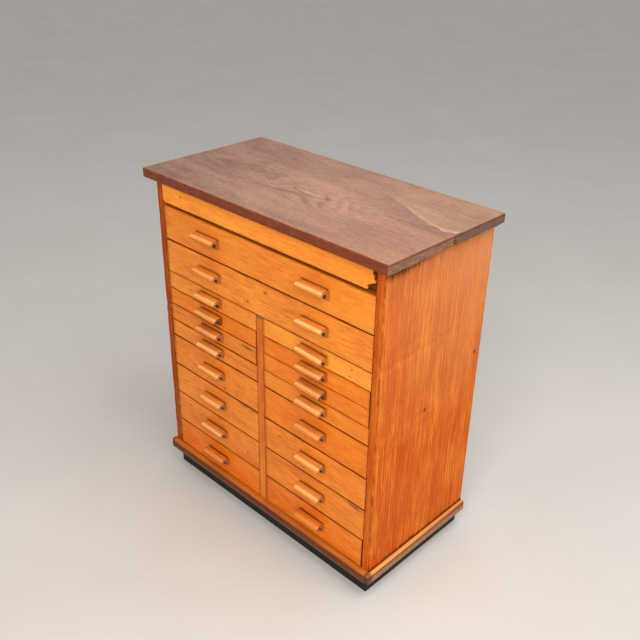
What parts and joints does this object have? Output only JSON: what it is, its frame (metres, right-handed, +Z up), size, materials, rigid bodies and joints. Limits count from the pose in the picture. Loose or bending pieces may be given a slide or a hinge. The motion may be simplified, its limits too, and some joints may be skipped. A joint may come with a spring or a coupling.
{
  "type": "chest of drawers",
  "caption": "Upright varnished pine chest with full-width drawers above two columns of small drawers, grooved wooden finger pulls, a dark overhanging top and a black plinth.",
  "frame": {"origin": "on the floor, under the middle of the outer box (pulls and top included)", "axes": "+Z up, -Y out of the drawer fronts, X along the front with +X to the right as seen from the front"},
  "size_m": [0.7, 0.352, 0.7915],
  "materials": {
    "walnut": "oiled, worn",
    "varnished_pine": "amber varnish",
    "stained_pine": "brown stain, worn edges",
    "black_paint": "matt black paint",
    "plywood": "bare",
    "raw_pine": "bare, planed",
    "steel": "bright"
  },
  "bodies": {
    "carcass": {"top_board": "walnut", "left_side_panel": "varnished_pine", "right_side_panel": "varnished_pine", "centre_divider": "varnished_pine", "dust_board": "plywood", "apron": "varnished_pine", "back_rail": "raw_pine", "back_panel": "plywood", "base_board": "stained_pine", "plinth_front": "black_paint", "plinth_back": "black_paint", "plinth_left": "black_paint", "plinth_right": "black_paint", "top_cleats": "raw_pine", "left_runners": "raw_pine", "divider_left_runners": "raw_pine", "divider_right_runners": "raw_pine", "right_runners": "raw_pine", "top_screws": "steel", "base_screws": "steel", "back_nails": "steel"},
    "wide_1": {"wide_1_drawer": "varnished_pine", "wide_1_left_pull": "varnished_pine", "wide_1_right_pull": "varnished_pine"},
    "wide_2": {"wide_2_drawer": "varnished_pine", "wide_2_left_pull": "varnished_pine", "wide_2_right_pull": "varnished_pine"},
    "left_1": {"left_1_drawer": "varnished_pine", "left_1_pull": "varnished_pine"},
    "left_2": {"left_2_drawer": "varnished_pine", "left_2_pull": "varnished_pine"},
    "left_3": {"left_3_drawer": "varnished_pine", "left_3_pull": "varnished_pine"},
    "left_4": {"left_4_drawer": "varnished_pine", "left_4_pull": "varnished_pine"},
    "left_5": {"left_5_drawer": "varnished_pine", "left_5_pull": "varnished_pine"},
    "left_6": {"left_6_drawer": "varnished_pine", "left_6_pull": "varnished_pine"},
    "left_7": {"left_7_drawer": "varnished_pine", "left_7_pull": "varnished_pine"},
    "left_8": {"left_8_drawer": "varnished_pine", "left_8_pull": "varnished_pine"},
    "right_1": {"right_1_drawer": "varnished_pine", "right_1_pull": "varnished_pine"},
    "right_2": {"right_2_drawer": "varnished_pine", "right_2_pull": "varnished_pine"},
    "right_3": {"right_3_drawer": "varnished_pine", "right_3_pull": "varnished_pine"},
    "right_4": {"right_4_drawer": "varnished_pine", "right_4_pull": "varnished_pine"},
    "right_5": {"right_5_drawer": "varnished_pine", "right_5_pull": "varnished_pine"},
    "right_6": {"right_6_drawer": "varnished_pine", "right_6_pull": "varnished_pine"},
    "right_7": {"right_7_drawer": "varnished_pine", "right_7_pull": "varnished_pine"},
    "right_8": {"right_8_drawer": "varnished_pine", "right_8_pull": "varnished_pine"}
  },
  "joints": [
    {"name": "wide_1_slide", "type": "slide", "parent": "carcass", "child": "wide_1", "axis": [0, -1, 0], "range_m": [0, 0.22]},
    {"name": "wide_2_slide", "type": "slide", "parent": "carcass", "child": "wide_2", "axis": [0, -1, 0], "range_m": [0, 0.22]},
    {"name": "left_1_slide", "type": "slide", "parent": "carcass", "child": "left_1", "axis": [0, -1, 0], "range_m": [0, 0.22]},
    {"name": "left_2_slide", "type": "slide", "parent": "carcass", "child": "left_2", "axis": [0, -1, 0], "range_m": [0, 0.22]},
    {"name": "left_3_slide", "type": "slide", "parent": "carcass", "child": "left_3", "axis": [0, -1, 0], "range_m": [0, 0.22]},
    {"name": "left_4_slide", "type": "slide", "parent": "carcass", "child": "left_4", "axis": [0, -1, 0], "range_m": [0, 0.22]},
    {"name": "left_5_slide", "type": "slide", "parent": "carcass", "child": "left_5", "axis": [0, -1, 0], "range_m": [0, 0.22]},
    {"name": "left_6_slide", "type": "slide", "parent": "carcass", "child": "left_6", "axis": [0, -1, 0], "range_m": [0, 0.22]},
    {"name": "left_7_slide", "type": "slide", "parent": "carcass", "child": "left_7", "axis": [0, -1, 0], "range_m": [0, 0.22]},
    {"name": "left_8_slide", "type": "slide", "parent": "carcass", "child": "left_8", "axis": [0, -1, 0], "range_m": [0, 0.22]},
    {"name": "right_1_slide", "type": "slide", "parent": "carcass", "child": "right_1", "axis": [0, -1, 0], "range_m": [0, 0.22]},
    {"name": "right_2_slide", "type": "slide", "parent": "carcass", "child": "right_2", "axis": [0, -1, 0], "range_m": [0, 0.22]},
    {"name": "right_3_slide", "type": "slide", "parent": "carcass", "child": "right_3", "axis": [0, -1, 0], "range_m": [0, 0.22]},
    {"name": "right_4_slide", "type": "slide", "parent": "carcass", "child": "right_4", "axis": [0, -1, 0], "range_m": [0, 0.22]},
    {"name": "right_5_slide", "type": "slide", "parent": "carcass", "child": "right_5", "axis": [0, -1, 0], "range_m": [0, 0.22]},
    {"name": "right_6_slide", "type": "slide", "parent": "carcass", "child": "right_6", "axis": [0, -1, 0], "range_m": [0, 0.22]},
    {"name": "right_7_slide", "type": "slide", "parent": "carcass", "child": "right_7", "axis": [0, -1, 0], "range_m": [0, 0.22]},
    {"name": "right_8_slide", "type": "slide", "parent": "carcass", "child": "right_8", "axis": [0, -1, 0], "range_m": [0, 0.22]}
  ]
}
